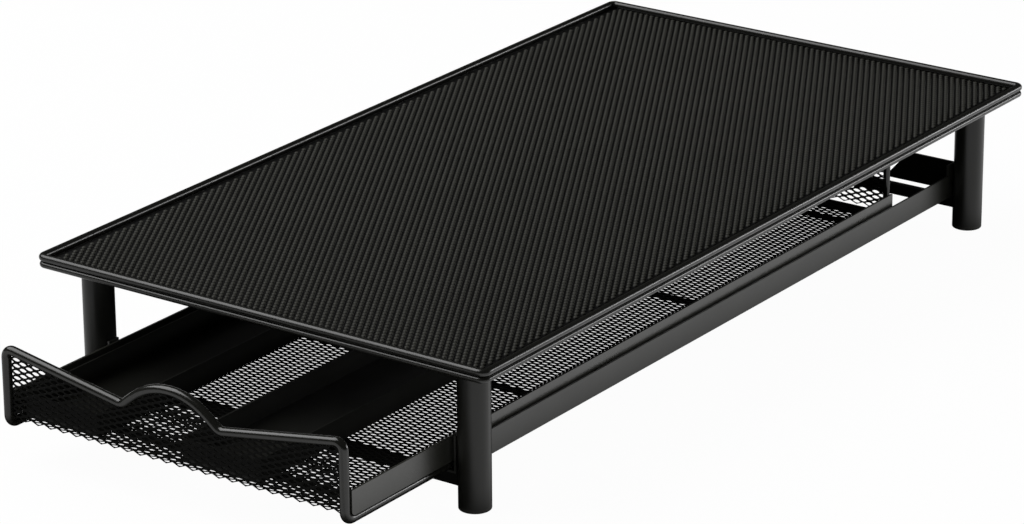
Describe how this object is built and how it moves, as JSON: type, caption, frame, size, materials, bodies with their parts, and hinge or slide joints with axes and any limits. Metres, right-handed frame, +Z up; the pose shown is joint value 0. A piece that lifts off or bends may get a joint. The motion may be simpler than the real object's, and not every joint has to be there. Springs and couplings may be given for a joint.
{
  "type": "coffee pod drawer",
  "caption": "Low black stand with a flat textured top on slim round legs and a shallow mesh drawer on wire runners that slides out to the front and holds coffee pods in lanes.",
  "frame": {"origin": "middle of the whole object's footprint at floor level, with the drawer pulled out as in the picture", "axes": "+X to the right seen from the front, +Y to the back along the drawer's slide, +Z up"},
  "size_m": [0.2228, 0.466, 0.0664],
  "materials": {
    "mat": "soft textured mat in beaded rows",
    "wire_metal": "satin black powder coat",
    "sheet_metal": "satin black powder coat",
    "leg_metal": "satin black powder coat",
    "mesh_metal": "satin black powder coat",
    "tray_metal": "satin black powder coat",
    "foot_plastic": "fine matt black"
  },
  "bodies": {
    "stand": {"top_mat": "mat", "top_panel": "sheet_metal", "upper_rim_rod": "wire_metal", "lower_rim_rod": "wire_metal", "panel_strap_front": "sheet_metal", "panel_strap_rear": "sheet_metal", "crossbar_front": "sheet_metal", "crossbar_rear": "sheet_metal", "corner_plate_front_left": "sheet_metal", "corner_plate_front_right": "sheet_metal", "corner_plate_rear_left": "sheet_metal", "corner_plate_rear_right": "sheet_metal", "leg_front_left": "leg_metal", "leg_front_right": "leg_metal", "leg_rear_left": "leg_metal", "leg_rear_right": "leg_metal", "foot_cap_front_left": "foot_plastic", "foot_cap_front_right": "foot_plastic", "foot_cap_rear_left": "foot_plastic", "foot_cap_rear_right": "foot_plastic", "rail_left": "sheet_metal", "rail_right": "sheet_metal", "rear_stop_left": "sheet_metal", "rear_stop_right": "sheet_metal"},
    "drawer": {"side_strip_left": "sheet_metal", "side_strip_right": "sheet_metal", "drawer_frame_wire": "wire_metal", "rear_wire_loop": "wire_metal", "mesh_front_panel": "mesh_metal", "mesh_rear_panel": "mesh_metal", "mesh_floor": "mesh_metal", "floor_cross_wires": "wire_metal", "pod_tray_left": "tray_metal", "pod_tray_right": "tray_metal"}
  },
  "joints": [
    {"name": "drawer_slide", "type": "slide", "parent": "stand", "child": "drawer", "axis": [0, -1, 0], "range_m": [-0.046, 0.27]}
  ]
}
